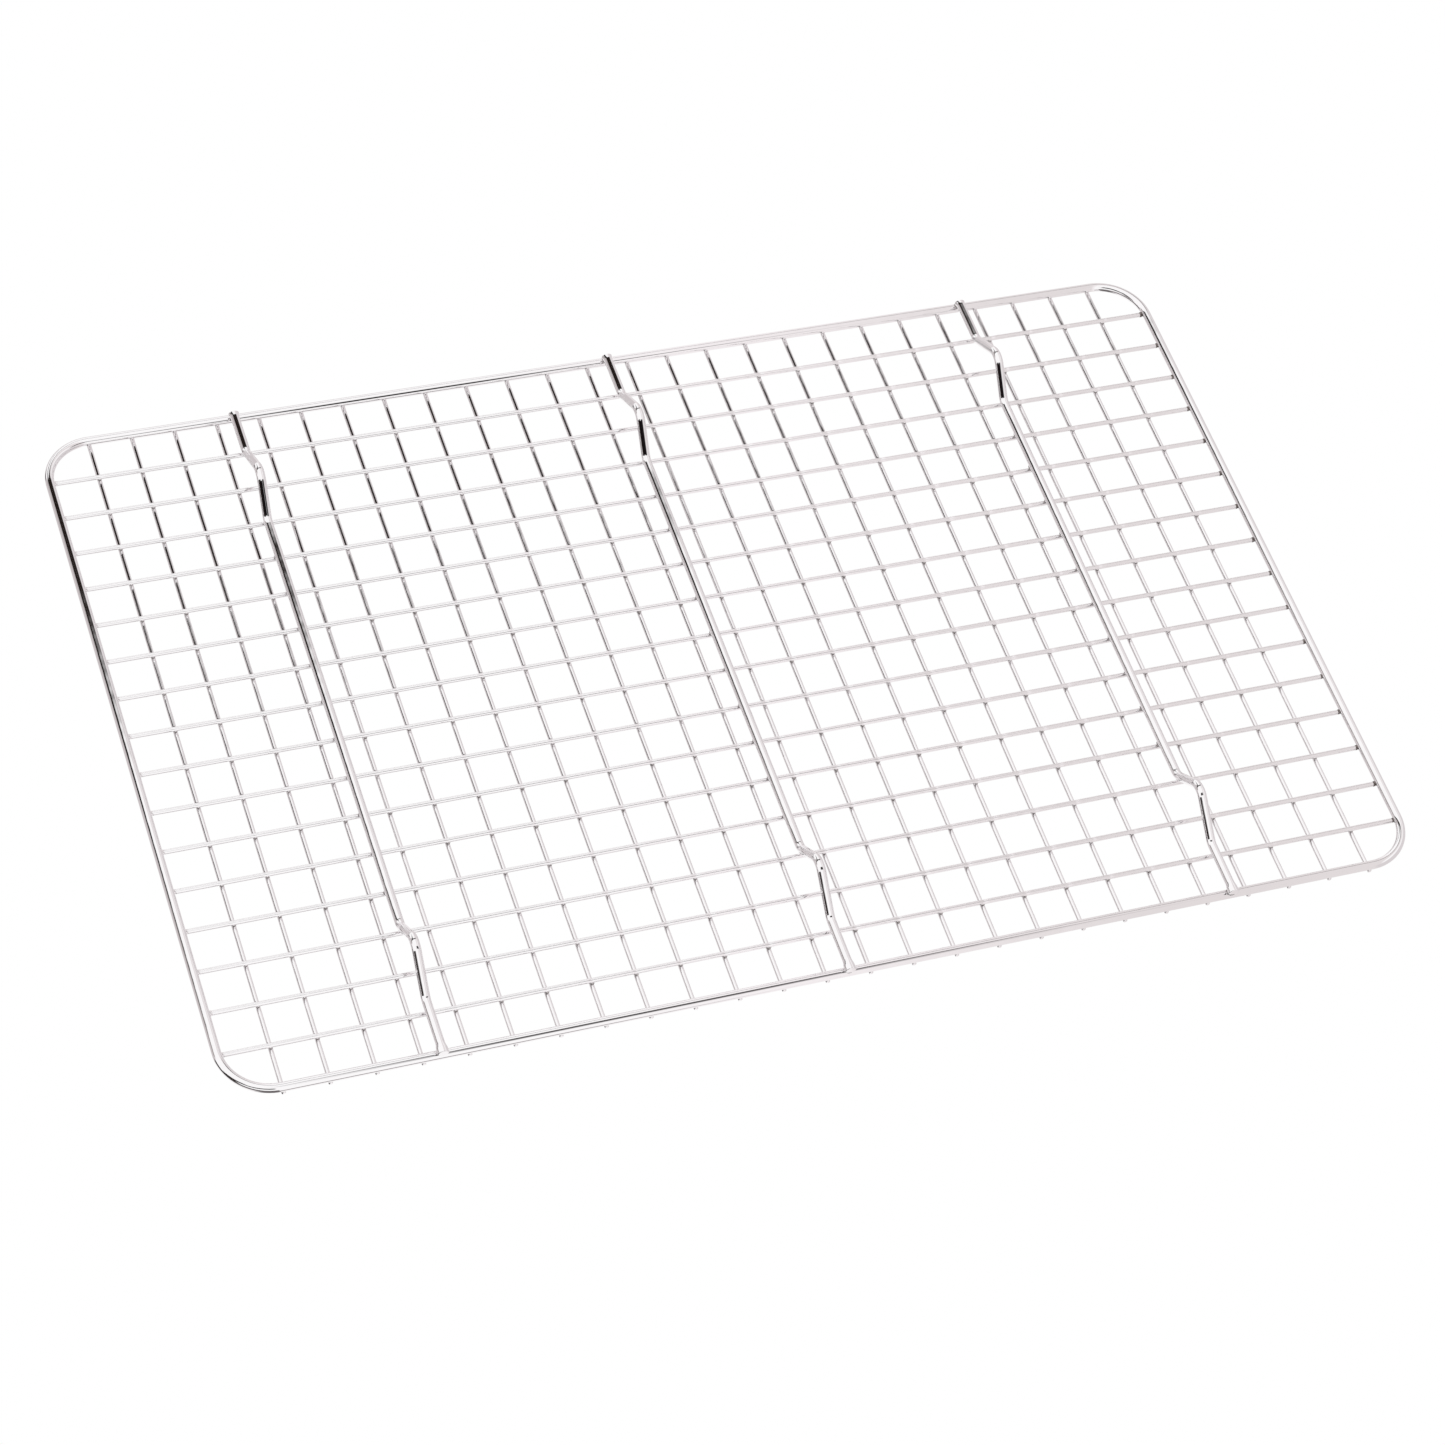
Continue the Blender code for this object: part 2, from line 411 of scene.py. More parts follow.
def foot_side(foot_height, height, slope, radius):
    """One side of a foot as points across and up, from its lowest point to a level run.

    An arc turns out of the lowest point up to the slope, a straight climbs, and an equal arc levels out.
    """
    turn = np.linspace(0, slope, BEND_STEPS)
    low = np.stack([radius * np.sin(turn), foot_height + radius * (1 - np.cos(turn))], axis=-1)
    rise = height - foot_height - 2 * radius * (1 - math.cos(slope))
    reach = 2 * radius * math.sin(slope) + rise / math.tan(slope)
    back = turn[::-1]
    high = np.stack([reach - radius * np.sin(back), height - radius * (1 - np.cos(back))], axis=-1)
    return np.concatenate([low, high])


def support_path(wires, x, end):
    """A support's centre line: a level middle run, two feet and two level end runs.

    Each half is a straight run, the two sides of a foot and a straight end. The back end is cut shorter.
    """
    radius, middle_height, end_height, _ = support_sizes()
    foot = foot_place()
    inner = foot_side(radius, middle_height, wires.inner_slope, wires.bend_radius)
    outer = foot_side(radius, end_height, wires.outer_slope, wires.bend_radius)
    run_end = foot - inner[-1, 0]
    marks = LONG_PLACES[(LONG_PLACES > 0) & (LONG_PLACES < run_end)]
    run = stations(0.0, run_end, marks, wires.pinch_width, wires.cut_edge)
    clear = RUN_CLEAR * wires.cut_edge
    run = run[(run > clear) & (run < run_end - clear)]
    level = np.stack([run, np.full_like(run, middle_height)], axis=-1)
    inside = np.stack([foot - inner[:, 0], inner[:, 1]], axis=-1)[::-1]
    outside = np.stack([foot + outer[:, 0], outer[:, 1]], axis=-1)[1:]
    tip = end + wires.front_reach
    last = stations(outside[-1, 0], tip, end - END_MARKS, wires.pinch_width, wires.cut_edge)
    last = last[last > outside[-1, 0] + wires.cut_edge]
    tail = np.stack([last, np.full_like(last, end_height)], axis=-1)
    half = np.concatenate([level, inside, outside, tail])
    rear = half[half[:, 0] < end - wires.back_trim - wires.cut_edge]
    edge = SUPPORT_EDGE * wires.cut_edge
    turn = wires.back_trim + edge * (1 - np.cos(np.linspace(math.pi / 2, 0, END_STEPS)))
    cut = np.stack([end - turn, np.full_like(turn, end_height)], axis=-1)
    rear = np.concatenate([rear[rear[:, 0] < cut[0, 0]], cut])
    whole = np.concatenate([rear[::-1] * (-1, 1), half])
    return np.stack([np.full(len(whole), x), whole[:, 0], whole[:, 1]], axis=-1)


def add(tree, kind, inputs=None, **settings):
    """Add a node with its settings, and give its inputs values or link them to other nodes' outputs."""
    made = tree.nodes.new(kind)
    for name, value in settings.items():
        setattr(made, name, value)
    for name, value in (inputs or {}).items():
        if isinstance(value, bpy.types.NodeSocket):
            tree.links.new(value, made.inputs[name])
        else:
            made.inputs[name].default_value = value
    return made


# Chrome plating on drawn steel wire: bright nickel and chrome over a die-drawn surface. The eye sees a mirror
# with a slow ripple, faint lines along the wire from the die, and a greyer, duller ring beside each weld.
DIE_LINE_PITCH = 0.5 * MM
DIE_LINE_LENGTH = 40 * MM
DIE_LINE_HEIGHT = 0.003 * MM
RIPPLE_SIZE = 7 * MM
RIPPLE_HEIGHT = 0.03 * MM
HAZE_SIZE = 25 * MM
HAZE_SHARE = 0.04

# The least and the most roughness between die lines, in shares of the wire's own
GLOSS_SHARES = (0.7, 1.4)

# Noise values between which haze clouds the plating, and between which die lines turn from bright to dull
HAZE_RANGE = (0.35, 0.7)
LINE_RANGE = (0.3, 0.7)

# Beside a weld: how much of the weld's colour the plating takes on, and how much rougher it gets
WELD_TINT = 0.45
WELD_ROUGHENING = 0.15

# A dark line painted along the frame's wire, a painted reflection: its width, strength and angle round each
# long side
MARK_WIDTH = 0.4 * MM
MARK_DEPTH_FRONT = 0.95
MARK_DEPTH_BACK = 1.5
MARK_ANGLE_FRONT = math.radians(243)
MARK_ANGLE_BACK = math.radians(313.6)
PAINTED_REFLECTION_COLOUR = linear("#332E2D")

# Between which places along X the mark fades in and fades out again, on each long side
MARK_START_FRONT = (-0.19, -0.10)
MARK_START_BACK = (-0.15, -0.09)
MARK_END_FRONT = (0.10, -0.05)
MARK_END_BACK = (0.0, -0.06)


def plated_wire(name, finish, roughness):
    """Chrome-plated drawn wire. Its die lines are about ten times coarser than real ones, to show."""
    material = bpy.data.materials.new(name)
    material.use_nodes = True
    tree = material.node_tree
    shader = tree.nodes["Principled BSDF"]
    place = add(tree, "ShaderNodeTexCoord").outputs["Object"]
    around = add(tree, "ShaderNodeUVMap", uv_map="wire").outputs["UV"]
    heat = add(tree, "ShaderNodeAttribute", attribute_name="heat").outputs["Fac"]
    drawn = add(tree, "ShaderNodeMapping", {
        "Vector": around, "Scale": (1 / DIE_LINE_PITCH, 1 / DIE_LINE_LENGTH, 1)}).outputs["Vector"]
    lines = add(tree, "ShaderNodeTexNoise", {"Vector": drawn, "Scale": 1.0, "Detail": 2.0}).outputs["Fac"]
    ripple = add(tree, "ShaderNodeTexNoise", {
        "Vector": place, "Scale": 1 / RIPPLE_SIZE, "Detail": 1.0}).outputs["Fac"]
    haze = add(tree, "ShaderNodeTexNoise", {
        "Vector": place, "Scale": 1 / HAZE_SIZE, "Detail": 4.0}).outputs["Fac"]
    dull = add(tree, "ShaderNodeMapRange", {
        "Value": heat, "To Max": WELD_TINT}).outputs["Result"]
    tint = add(tree, "ShaderNodeMix", {
        "Factor": dull, "A": finish.plating[:], "B": finish.weld[:]}, data_type="RGBA")
    cloudy = add(tree, "ShaderNodeMapRange", {
        "Value": haze, "From Min": HAZE_RANGE[0], "From Max": HAZE_RANGE[1],
        "To Max": HAZE_SHARE}).outputs["Result"]
    clouded = add(tree, "ShaderNodeMix", {
        "Factor": cloudy, "A": tint.outputs["Result"], "B": finish.weld[:]}, data_type="RGBA")
    girth = add(tree, "ShaderNodeSeparateXYZ", {"Vector": around}).outputs["X"]
    # On the frame, a near-black line painted along the wire as a painted reflection; wires without these
    # attributes get none
    painted_reflection_place = add(tree, "ShaderNodeAttribute", attribute_name="painted_reflection_place").outputs["Fac"]
    painted_reflection_depth = add(tree, "ShaderNodeAttribute", attribute_name="painted_reflection_depth").outputs["Fac"]
    aside = add(tree, "ShaderNodeMath", {0: girth, 1: painted_reflection_place}, operation="SUBTRACT").outputs["Value"]
    apart = add(tree, "ShaderNodeMath", {0: aside}, operation="ABSOLUTE").outputs["Value"]
    near = add(tree, "ShaderNodeMapRange", {
        "Value": apart, "From Min": MARK_WIDTH, "From Max": 0.0},
        interpolation_type="SMOOTHSTEP").outputs["Result"]
    painted_reflection_share = add(tree, "ShaderNodeMath", {0: near, 1: painted_reflection_depth}, operation="MULTIPLY").outputs["Value"]
    with_painted_reflection = add(tree, "ShaderNodeMix", {
        "Factor": painted_reflection_share, "A": clouded.outputs["Result"], "B": PAINTED_REFLECTION_COLOUR}, data_type="RGBA")
    gloss = add(tree, "ShaderNodeMapRange", {
        "Value": lines, "From Min": LINE_RANGE[0], "From Max": LINE_RANGE[1],
        "To Min": GLOSS_SHARES[0] * roughness, "To Max": GLOSS_SHARES[1] * roughness})
    rough = add(tree, "ShaderNodeMath", {
        0: heat, 1: WELD_ROUGHENING, 2: gloss.outputs["Result"]}, operation="MULTIPLY_ADD").outputs["Value"]
    wavy = add(tree, "ShaderNodeBump", {"Height": ripple, "Distance": RIPPLE_HEIGHT, "Strength": 1.0})
    lined = add(tree, "ShaderNodeBump", {
        "Height": lines, "Distance": DIE_LINE_HEIGHT, "Strength": 1.0, "Normal": wavy.outputs["Normal"]})
    shader.inputs["Metallic"].default_value = 1.0
    tree.links.new(with_painted_reflection.outputs["Result"], shader.inputs["Base Color"])
    tree.links.new(rough, shader.inputs["Roughness"])
    tree.links.new(lined.outputs["Normal"], shader.inputs["Normal"])
    return material


# Weld flash: steel squeezed out of a resistance weld and plated over. Plating is thin in its folds, so one
# sees a small dull grey lump with a rough, spotted skin. At the long wires' right ends the flash is painted
# darker and browner, a painted reflection of the frame.
SPATTER_SIZE = 0.5 * MM
SPATTER_HEIGHT = 0.06 * MM
SPATTER_COLOUR = linear("#A8A2A0")
# Spots on the flash at the long wires' right ends, part of the painted reflection of the frame
PAINTED_REFLECTION_SPOTS = linear("#5A504D")

# Noise values between which spots give way to the base colour, and roughness in shares of the weld's own
SPOT_RANGE = (0.35, 0.65)
GRAIN_SHARES = (1.3, 0.7)


def weld_flash(name, finish, base, spots_colour):
    """Thinly plated weld flash in its base colour, with spots of darker metal and a grainy skin."""
    material = bpy.data.materials.new(name)
    material.use_nodes = True
    tree = material.node_tree
    shader = tree.nodes["Principled BSDF"]
    place = add(tree, "ShaderNodeTexCoord").outputs["Object"]
    spatter = add(tree, "ShaderNodeTexNoise", {
        "Vector": place, "Scale": 1 / SPATTER_SIZE, "Detail": 3.0}).outputs["Fac"]
    spots = add(tree, "ShaderNodeMapRange", {
        "Value": spatter, "From Min": SPOT_RANGE[0], "From Max": SPOT_RANGE[1]}).outputs["Result"]
    tint = add(tree, "ShaderNodeMix", {
        "Factor": spots, "A": spots_colour, "B": base}, data_type="RGBA")
    rough = add(tree, "ShaderNodeMapRange", {
        "Value": spatter, "To Min": GRAIN_SHARES[0] * finish.weld_roughness,
        "To Max": GRAIN_SHARES[1] * finish.weld_roughness})
    grain = add(tree, "ShaderNodeBump", {"Height": spatter, "Distance": SPATTER_HEIGHT, "Strength": 1.0})
    shader.inputs["Metallic"].default_value = 1.0
    tree.links.new(tint.outputs["Result"], shader.inputs["Base Color"])
    tree.links.new(rough.outputs["Result"], shader.inputs["Roughness"])
    tree.links.new(grain.outputs["Normal"], shader.inputs["Normal"])
    return material


def finish_named(name, make, *settings):
    """The material of that name, made the first time that a piece asks for it."""
    return bpy.data.materials.get(name) or make(name, *settings)


class RACK_OT_frame_ring(bpy.types.Operator):
    """Make the round-cornered ring that carries the grid"""

    bl_idname = "rack.frame_ring"
    bl_label = "Frame ring"

    def execute(self, context):
        wires, finish = context.scene.rack_wires, context.scene.rack_finish
        _, half = MEASURES[RING]
        radius = radius_of(RING)
        path = ring_path(half[0] - radius, half[1] - radius, wires.corner_radius, level_of(RING))
        radii = np.full((len(path), 2), radius)
        rings = sweep(path, (0, 0, 1), radii, wires.thick_sides, closed=True)
        material = finish_named("chrome_plated_frame_wire", plated_wire, finish, finish.thick_roughness)
        heat = np.zeros(len(path))
        # The dark line along the long sides is a painted reflection
        traits = self.painted_reflection_line(path, radius)
        along = lengths(path)
        piece = skin("plated_frame_ring", rings[None], along, heat, material, True, traits)
        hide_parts(RING)
        return {"FINISHED"}

    @staticmethod
    def painted_reflection_line(path, radius):
        """Place round the wire and strength of a painted reflection line under the long sides, by ring.

        The mark fades in and out along X by smooth steps, and lies at one angle on each long side.
        """
        x, front = path[:, 0], path[:, 1] > 0
        angle = np.where(front, MARK_ANGLE_FRONT, MARK_ANGLE_BACK)
        depth = np.where(front, MARK_DEPTH_FRONT, MARK_DEPTH_BACK)
        fade_in = np.where(front, smooth(x, *MARK_START_FRONT), smooth(x, *MARK_START_BACK))
        fade_out = np.where(front, smooth(x, *MARK_END_FRONT), smooth(x, *MARK_END_BACK))
        return {"painted_reflection_place": angle * radius, "painted_reflection_depth": depth * fade_in * fade_out}


def straight_wire(node, axis, marks, pull, wires, material):
    """A grid wire along X or Y that bows a little and is pressed in Z towards the wires it is welded to.

    Its path is the axis, plus half a sine wave sideways, plus a bell curve in Z at each mark.
    """
    middle, half = MEASURES[node]
    radius = radius_of(node)
    start, end = middle[axis] - half[axis], middle[axis] + half[axis]
    at = stations(start, end, marks, wires.pinch_width, wires.cut_edge)
    bump = bells(at, marks, wires.pinch_width)
    draw = np.random.default_rng([SEED, *node.encode()])
    sway = wires.bow * draw.uniform(-1, 1) * np.sin(math.pi * (at - start) / (end - start))
    path = np.empty((len(at), 3))
    path[:, axis] = at
    path[:, 1 - axis] = middle[1 - axis] + sway
    path[:, 2] = middle[2] + pull * wires.pinch_depth * bump
    along = at - start
    radii = np.repeat(cut_radius(along, radius, wires.cut_edge)[:, None], 2, axis=1)
    rings = sweep(path, (0, 0, 1), radii, wires.thin_sides)
    piece = skin(f"plated_{node}", rings[None], along, np.clip(bump, 0, 1), material)
    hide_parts(node)


class RACK_OT_long_wires(bpy.types.Operator):
    """Make the sixteen wires that run the length of the rack"""

    bl_idname = "rack.long_wires"
    bl_label = "Long wires"

    def execute(self, context):
        wires, finish = context.scene.rack_wires, context.scene.rack_finish
        material = finish_named("chrome_plated_grid_wire", plated_wire, finish, finish.thin_roughness)
        for node in LONG_WIRES:
            straight_wire(node, 0, CROSS_PLACES, LONG_PULL, wires, material)
        return {"FINISHED"}


class RACK_OT_cross_wires(bpy.types.Operator):
    """Make the twenty-six wires that lie across the rack, on top"""

    bl_idname = "rack.cross_wires"
    bl_label = "Cross wires"

    def execute(self, context):
        wires, finish = context.scene.rack_wires, context.scene.rack_finish
        material = finish_named("chrome_plated_grid_wire", plated_wire, finish, finish.thin_roughness)
        edge = MEASURES[RING][1][1] - radius_of(RING)
        marks = np.concatenate([[-edge], LONG_PLACES, [edge]])
        for node in CROSS_WIRES:
            straight_wire(node, 1, marks, CROSS_PULL, wires, material)
        return {"FINISHED"}


class RACK_OT_supports(bpy.types.Operator):
    """Make the three footed wires that the rack stands on"""

    bl_idname = "rack.supports"
    bl_label = "Support wires"

    def execute(self, context):
        wires, finish = context.scene.rack_wires, context.scene.rack_finish
        material = finish_named("chrome_plated_support_wire", plated_wire, finish, finish.thick_roughness)
        radius = support_sizes()[0]
        for node in SUPPORTS:
            middle, half = MEASURES[node]
            path = support_path(wires, middle[0], half[1])
            along = lengths(path)
            round_end = cut_radius(along, radius, SUPPORT_EDGE * wires.cut_edge)
            press = smooth(np.abs(path[:, 1]), half[1] - PRESS_START, half[1] - PRESS_FULL)
            squash = np.stack([1 - PRESS_LOWER * press, 1 + PRESS_WIDER * press], axis=-1)
            radii = round_end[:, None] * squash
            radii[[0, -1]] *= CUT_FACE
            rings = sweep(path, (1, 0, 0), radii, wires.thick_sides)
            on_run = path[:, 2] > path[:, 2].max() - MM
            welded = bells(path[:, 1], LONG_PLACES, wires.pinch_width) * on_run
            heat = np.maximum(np.clip(RUN_HEAT * welded, 0, 1), END_HEAT * press)
            piece = skin(f"plated_{node}", rings[None], along, heat, material)
            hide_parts(node)
        return {"FINISHED"}


def flash(centres, low_radius, high_radius, gap, low_along_x, draw, waist=FLASH_WAIST):
    """Flash squeezed out between crossed wires: ellipses stacked in Z, from inside one wire into the other.

    Each ellipse is centre plus reach in X times cos t, plus reach in Y times sin t. It is longer along the
    wire that it lies on, and each weld is a little larger or smaller than the next.
    """
    middle = waist * (low_radius + high_radius)
    below = -gap / 2 - FLASH_DEPTHS * low_radius
    above = gap / 2 + FLASH_DEPTHS[::-1] * high_radius
    heights = np.concatenate([below, [0], above])
    along = np.concatenate([FLASH_LONG * low_radius, [middle], FLASH_NARROW[::-1] * high_radius])
    across = np.concatenate([FLASH_NARROW * low_radius, [middle], FLASH_LONG[::-1] * high_radius])
    reach_x, reach_y = (along, across) if low_along_x else (across, along)
    turn = np.linspace(0, 2 * math.pi, WELD_SIDES, endpoint=False)
    ring_x = reach_x[:, None] * np.cos(turn)
    ring_y = reach_y[:, None] * np.sin(turn)
    ring_z = np.repeat(heights[:, None], WELD_SIDES, axis=1)
    shape = np.stack([ring_x, ring_y, ring_z], axis=-1)
    swell = draw.uniform(*FLASH_SWELL, (len(centres), 1, 1, 3)) * (1, 1, 0) + (0, 0, 1)
    slip = draw.uniform(-FLASH_SLIP, FLASH_SLIP, (len(centres), 1, 1, 3)) * (1, 1, 0) * middle
    return centres[:, None, None] + shape * swell + slip


def crossings(x, y, z):
    """The points where wires at each x cross wires at each y, at one height."""
    across, along = np.meshgrid(x, y)
    return np.stack([across.ravel(), along.ravel(), np.full(across.size, z)], axis=-1)


class RACK_OT_welds(bpy.types.Operator):
    """Make the flash of the welds on the grid, on the frame, at the long wires' ends and on the supports"""

    bl_idname = "rack.welds"
    bl_label = "Weld flash"

    def execute(self, context):
        finish = context.scene.rack_finish
        material = finish_named("plated_weld_flash", weld_flash, finish, finish.weld[:], SPATTER_COLOUR)
        # The flash at the long wires' right ends is painted darker, a painted reflection of the frame; the
        # left ends stay plain plating
        reflection_colour = finish.right_end_painted_reflection[:]
        painted_reflection_flash = finish_named("right_end_painted_reflection_flash", weld_flash, finish, reflection_colour, PAINTED_REFLECTION_SPOTS)
        draw = np.random.default_rng(SEED)
        frame_radius, long_radius = radius_of(RING), radius_of(LONG_WIRES[0])
        cross_radius = radius_of(CROSS_WIRES[0])
        support_radius, run_height, end_height, gap = support_sizes()
        long_top = level_of(LONG_WIRES[0]) + long_radius
        edge = MEASURES[RING][1][1] - frame_radius
        sides = np.array([-edge, edge])
        run = LONG_PLACES[np.abs(LONG_PLACES) < foot_place() - FOOT_CLEAR]

        grid = crossings(CROSS_PLACES, LONG_PLACES, long_top + gap / 2)
        on_grid = flash(grid, long_radius, cross_radius, gap, True, draw)
        rim = crossings(CROSS_PLACES, sides, long_top + gap / 2)
        on_rim = flash(rim, RIM_SHARE * cross_radius, RIM_SHARE * cross_radius, gap, True, draw)
        carried = crossings(SUPPORT_PLACES, run, run_height + support_radius + gap / 2)
        on_supports = flash(carried, support_radius, long_radius, gap, False, draw)
        ends = crossings(SUPPORT_PLACES, sides, end_height + support_radius + gap / 2)
        at_ends = flash(ends, support_radius, frame_radius, gap, False, draw, END_WAIST)
        groups = {
            "grid_weld_flash": (on_grid, "grid_chrome"),
            "rim_weld_flash": (on_rim, "grid_chrome"),
            "support_weld_flash": (on_supports, "support_chrome"),
            "support_end_weld_flash": (at_ends, "support_chrome"),
        }
        for name, (stacks, slot) in groups.items():
            rows = stacks.shape[1]
            skin(name, stacks, np.linspace(0, MM, rows), np.ones(rows), material)
        right, left = self.long_ends(draw)
        rows = right.shape[1]
        along, heat = np.linspace(0, 2 * MM, rows), np.full(rows, COLLAR_HEAT)
        plated = finish_named("chrome_plated_grid_wire", plated_wire, finish, finish.thin_roughness)
        skin("right_end_weld_collars", right, along, heat, painted_reflection_flash)
        skin("left_end_weld_collars", left, along, heat, plated)
        return {"FINISHED"}

    @staticmethod
    def long_ends(draw):
        """Collars where long wires butt against the frame, at their right and at their left ends.

        A collar is circles along X that swell, slant down and sink into the frame.
        """
        radius = radius_of(LONG_WIRES[0])
        drop = level_of(LONG_WIRES[0]) - level_of(RING)
        turn = np.linspace(0, 2 * math.pi, WELD_SIDES, endpoint=False)
        reach = COLLAR_RADII[:, None] * radius
        ring_x = np.repeat(COLLAR_PLACES[:, None], WELD_SIDES, axis=1)
        ring_z = reach * np.sin(turn) - COLLAR_DROPS[:, None] * drop
        shape = np.stack([ring_x, reach * np.cos(turn), ring_z], axis=-1)
        tips = np.array([MEASURES[node][0] + MEASURES[node][1] * (1, 0, 0) for node in LONG_WIRES])
        swell = draw.uniform(*COLLAR_SWELL, (len(tips), 1, 1, 1))
        right = tips[:, None, None] + shape * swell
        left = np.flip(right, axis=1) * (-1, 1, 1)
        return right, left


# What glossy rays meet around the rack, patch by patch. Each patch has a colour and the limits between which
# each of its signals fades it in. The photograph's up is -Z, so up is -Z, back is -Y and side is X here.
# Turn is the angle about Y from up to the right, and tilt the angle about X from up to the front.
STUDIO_WHITE = linear("#FFFFFF")
STUDIO_GREY = linear("#DCDCDC")

# The dark room above the table: its colour, its heights, and where it starts ahead, behind and on the right
ROOM = linear("#302C2D")
ROOM_HEIGHTS = [("up", -0.03, -0.10), ("up", -0.74, -0.50)]
AHEAD = ("back", 0.40, 0.36)
BEHIND = ("back", 0.65, 0.69)
RIGHT = ("side", 0.48, 0.52)

# Edge is how far a direction lies behind the doorway's brink, and drop how far it lies behind the doorway's
# depth. Brink and depth change with turn, between two turns and the two values given for them.
BRINK_TURNS = (-1.40, -0.45)
BRINK_PLACES = (0.480, 0.578)
DEPTH_TURNS = (-0.95, -0.45)
DEPTH_SIZES = (0.078, 0.45)

STUDIO_PATCHES = {
    "table": (linear("#FBFAFA"), [("up", 0.02, -0.35)]),
    "room_front_left": (ROOM, [*ROOM_HEIGHTS, ("side", 0.10, 0.06), AHEAD]),
    "room_front_right": (ROOM, [*ROOM_HEIGHTS, RIGHT, AHEAD]),
    "room_back_left": (ROOM, [*ROOM_HEIGHTS, ("side", -0.44, -0.50), BEHIND]),
    "back_wall": (linear("#CFC9CA"), [
        ("up", -0.01, -0.08), ("up", -0.80, -0.60), ("side", 0.52, 0.46), ("side", -0.50, -0.44), BEHIND]),
    "room_back_right": (ROOM, [*ROOM_HEIGHTS, RIGHT, BEHIND]),
    "ceiling": (ROOM, [
        ("side", 0.14, 0.10), ("side", -0.34, -0.24), ("back", -0.20, -0.32),
        ("up", -0.30, -0.50), ("up", -1.02, -0.92)]),
    "table_front": (linear("#8C8687"), [("tilt", 1.92, 2.04), ("tilt", 2.42, 2.28), ("up", -0.05, -0.20)]),
    "pink_wall": (linear("#F7F3F4"), [("side", 0.235, 0.31), ("side", 0.62, 0.52)]),
    "far_right": (linear("#E4DFDF"), [("side", 0.29, 0.39), ("side", 0.66, 0.56)]),
    "low_right": (linear("#DAD5D6"), [("turn", 0.8, 1.1), ("turn", 2.9, 2.5), ("side", 0.45, 0.55)]),
    "front_dark": (linear("#141112"), [("side", 0.05, -0.03), ("tilt", 0.68, 0.76), ("tilt", 1.12, 1.00)]),
    "front_left_dark": (linear("#241C1A"), [
        ("side", -0.55, -0.68), ("tilt", 0.50, 0.58), ("tilt", 0.80, 0.72)]),
    "left_dark": (linear("#2A2220"), [("side", -0.80, -0.92), ("tilt", 0.45, 0.60), ("tilt", 2.4, 2.1)]),
    "left_table": (linear("#CCC6C7"), [
        ("turn", -2.9, -2.5), ("turn", -1.1, -1.35), ("back", 0.30, 0.40), ("back", 0.75, 0.65)]),
    "grey_left": (linear("#B8B2B2"), [
        ("drop", -0.02, 0.02), ("turn", -1.6, -1.4), ("turn", -0.7, -0.95), ("back", 0.75, 0.65)]),
    "left_wall": (linear("#A09A98"), [
        ("turn", -1.64, -1.54), ("turn", -1.14, -1.24), ("back", 0.38, 0.42), ("back", 0.56, 0.52)]),
    "left_band": (linear("#120D0C"), [
        ("edge", -0.019, 0.001), ("drop", 0.012, -0.012), ("turn", -1.42, -1.05), ("turn", -0.32, -0.54)]),
    "dark_doorway": (linear("#241D1B"), [
        ("edge", -0.018, 0.020), ("drop", 0.015, -0.015), ("turn", -1.05, -0.8), ("turn", 0.95, 0.65),
        ("back", 0.675, 0.645)]),
}

# Flags in front of the rack that glossy rays meet: here the slim arm of a stand. Each has its span in X, its
# upper and lower edge as Y and Z, the width over which its edges fade in X and Y, and its colour.
FLAGS = {
    "flag_arm": ((-0.20, 0.26), (0.130, -0.345), (0.200, -0.216), (0.16, 0.015), linear("#1C181A")),
}


